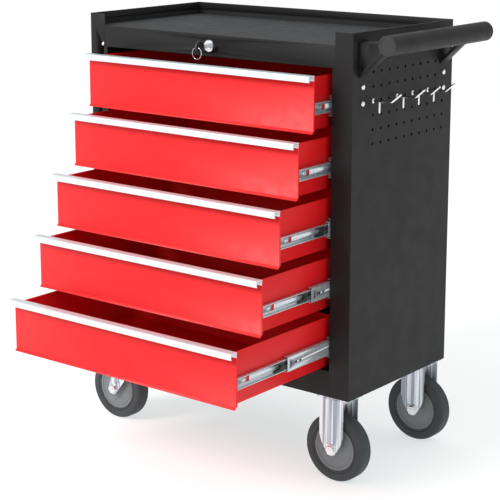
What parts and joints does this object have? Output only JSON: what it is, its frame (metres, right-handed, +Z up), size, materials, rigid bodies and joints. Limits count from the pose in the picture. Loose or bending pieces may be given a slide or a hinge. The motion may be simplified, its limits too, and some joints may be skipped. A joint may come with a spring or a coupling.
{
  "type": "tool cart",
  "caption": "Rolling steel tool cart with full-width drawers on ball-bearing slides, a recessed top tray, key lock, side push handle, pegboard with wire hooks and casters.",
  "frame": {"origin": "on the floor, under the middle of the whole cart's bounding box at rest (drawers partly open)", "axes": "+Z up; -Y is the way the drawers open, so the front faces -Y; +X is towards the push handle and pegboard side"},
  "size_m": [0.719, 0.5986, 0.81],
  "materials": {
    "black_paint": "satin powder coat",
    "red_paint": "gloss powder coat",
    "zinc_steel": "bright zinc",
    "aluminium": "satin anodised",
    "chrome": "polished",
    "black_plastic": "matt",
    "mat_rubber": "matt, fine texture",
    "tyre_grey": "matt",
    "hub_grey": "matt"
  },
  "bodies": {
    "cabinet": {"side_panel_left": "black_paint", "side_panel_right": "black_paint", "back_panel": "black_paint", "lock_guides": "zinc_steel", "base_pan": "black_paint", "top_fascia": "black_paint", "top_tray": "black_paint", "tray_mat": "mat_rubber", "front_uprights": "black_paint", "rear_uprights": "black_paint", "slide_outer_members": "zinc_steel", "handle_tube": "black_paint", "handle_end_caps": "black_plastic", "handle_bracket_front": "black_paint", "handle_bracket_rear": "black_paint", "panel_screws": "chrome", "peg_hooks": "chrome", "lock_barrel": "chrome", "lock_nut": "zinc_steel", "rigid_forks": "zinc_steel", "rigid_axles": "zinc_steel", "swivel_plates": "zinc_steel", "caster_bolts": "zinc_steel"},
    "slide_1": {"slide_middle_1": "zinc_steel"},
    "drawer_1": {"drawer_1": "red_paint", "drawer_pull_1": "aluminium", "slide_inner_1": "zinc_steel"},
    "slide_2": {"slide_middle_2": "zinc_steel"},
    "drawer_2": {"drawer_2": "red_paint", "drawer_pull_2": "aluminium", "slide_inner_2": "zinc_steel"},
    "slide_3": {"slide_middle_3": "zinc_steel"},
    "drawer_3": {"drawer_3": "red_paint", "drawer_pull_3": "aluminium", "slide_inner_3": "zinc_steel"},
    "slide_4": {"slide_middle_4": "zinc_steel"},
    "drawer_4": {"drawer_4": "red_paint", "drawer_pull_4": "aluminium", "slide_inner_4": "zinc_steel"},
    "slide_5": {"slide_middle_5": "zinc_steel"},
    "drawer_5": {"drawer_5": "red_paint", "drawer_pull_5": "aluminium", "slide_inner_5": "zinc_steel"},
    "lock": {"lock_cylinder": "chrome", "lock_tail_rod": "zinc_steel", "key": "black_plastic"},
    "key_ring": {"key_ring": "chrome"},
    "lock_bar": {"lock_bar": "zinc_steel"},
    "swivel_front": {"swivel_fork_front": "zinc_steel", "swivel_axle_front": "zinc_steel"},
    "wheel_left_front": {"tyre_left_front": "tyre_grey", "hub_left_front": "hub_grey"},
    "wheel_right_front": {"tyre_right_front": "tyre_grey", "hub_right_front": "hub_grey"},
    "swivel_rear": {"swivel_fork_rear": "zinc_steel", "swivel_axle_rear": "zinc_steel"},
    "wheel_left_rear": {"tyre_left_rear": "tyre_grey", "hub_left_rear": "hub_grey"},
    "wheel_right_rear": {"tyre_right_rear": "tyre_grey", "hub_right_rear": "hub_grey"}
  },
  "joints": [
    {"name": "slide_1_run", "type": "slide", "parent": "cabinet", "child": "slide_1", "axis": [0, -1, 0], "range_m": [0, 0.137]},
    {"name": "drawer_1_run", "type": "slide", "parent": "slide_1", "child": "drawer_1", "axis": [0, -1, 0], "range_m": [-0.051, 0.084]},
    {"name": "slide_2_run", "type": "slide", "parent": "cabinet", "child": "slide_2", "axis": [0, -1, 0], "range_m": [0, 0.137]},
    {"name": "drawer_2_run", "type": "slide", "parent": "slide_2", "child": "drawer_2", "axis": [0, -1, 0], "range_m": [-0.094, 0.041]},
    {"name": "slide_3_run", "type": "slide", "parent": "cabinet", "child": "slide_3", "axis": [0, -1, 0], "range_m": [-0.009, 0.128]},
    {"name": "drawer_3_run", "type": "slide", "parent": "slide_3", "child": "drawer_3", "axis": [0, -1, 0], "range_m": [-0.135, 0]},
    {"name": "slide_4_run", "type": "slide", "parent": "cabinet", "child": "slide_4", "axis": [0, -1, 0], "range_m": [-0.057, 0.08]},
    {"name": "drawer_4_run", "type": "slide", "parent": "slide_4", "child": "drawer_4", "axis": [0, -1, 0], "range_m": [-0.135, 0]},
    {"name": "slide_5_run", "type": "slide", "parent": "cabinet", "child": "slide_5", "axis": [0, -1, 0], "range_m": [-0.124, 0.013]},
    {"name": "drawer_5_run", "type": "slide", "parent": "slide_5", "child": "drawer_5", "axis": [0, -1, 0], "range_m": [-0.135, 0]},
    {"name": "lock_turn", "type": "hinge", "parent": "cabinet", "child": "lock", "pos_m": [-0.034, -0.02475, 0.768], "axis": [0, -1, 0], "range_deg": [0, 90]},
    {"name": "key_ring_swing", "type": "hinge", "parent": "lock", "child": "key_ring", "pos_m": [-0.034, -0.06575, 0.768], "axis": [1, 0, 0], "range_deg": [-100, 55]},
    {"name": "lock_bar_lift", "type": "slide", "parent": "cabinet", "child": "lock_bar", "axis": [0, 0, 1], "range_m": [0, 0.0115]},
    {"name": "swivel_front_turn", "type": "hinge", "parent": "cabinet", "child": "swivel_front", "pos_m": [-0.261, 0.00125, 0.145], "axis": [0, 0, 1], "continuous": true},
    {"name": "wheel_left_front_roll", "type": "hinge", "parent": "swivel_front", "child": "wheel_left_front", "pos_m": [-0.297, 0.00125, 0.0625], "axis": [0, 1, 0], "continuous": true},
    {"name": "wheel_right_front_roll", "type": "hinge", "parent": "cabinet", "child": "wheel_right_front", "pos_m": [0.237, 0.00125, 0.0625], "axis": [0, 1, 0], "continuous": true},
    {"name": "swivel_rear_turn", "type": "hinge", "parent": "cabinet", "child": "swivel_rear", "pos_m": [-0.261, 0.26925, 0.145], "axis": [0, 0, 1], "continuous": true},
    {"name": "wheel_left_rear_roll", "type": "hinge", "parent": "swivel_rear", "child": "wheel_left_rear", "pos_m": [-0.297, 0.26925, 0.0625], "axis": [0, 1, 0], "continuous": true},
    {"name": "wheel_right_rear_roll", "type": "hinge", "parent": "cabinet", "child": "wheel_right_rear", "pos_m": [0.237, 0.26925, 0.0625], "axis": [0, 1, 0], "continuous": true}
  ],
  "couplings": [
    {"joint": "lock_bar_lift", "follows": "lock_turn", "m_per_rad": 0.007203}
  ]
}
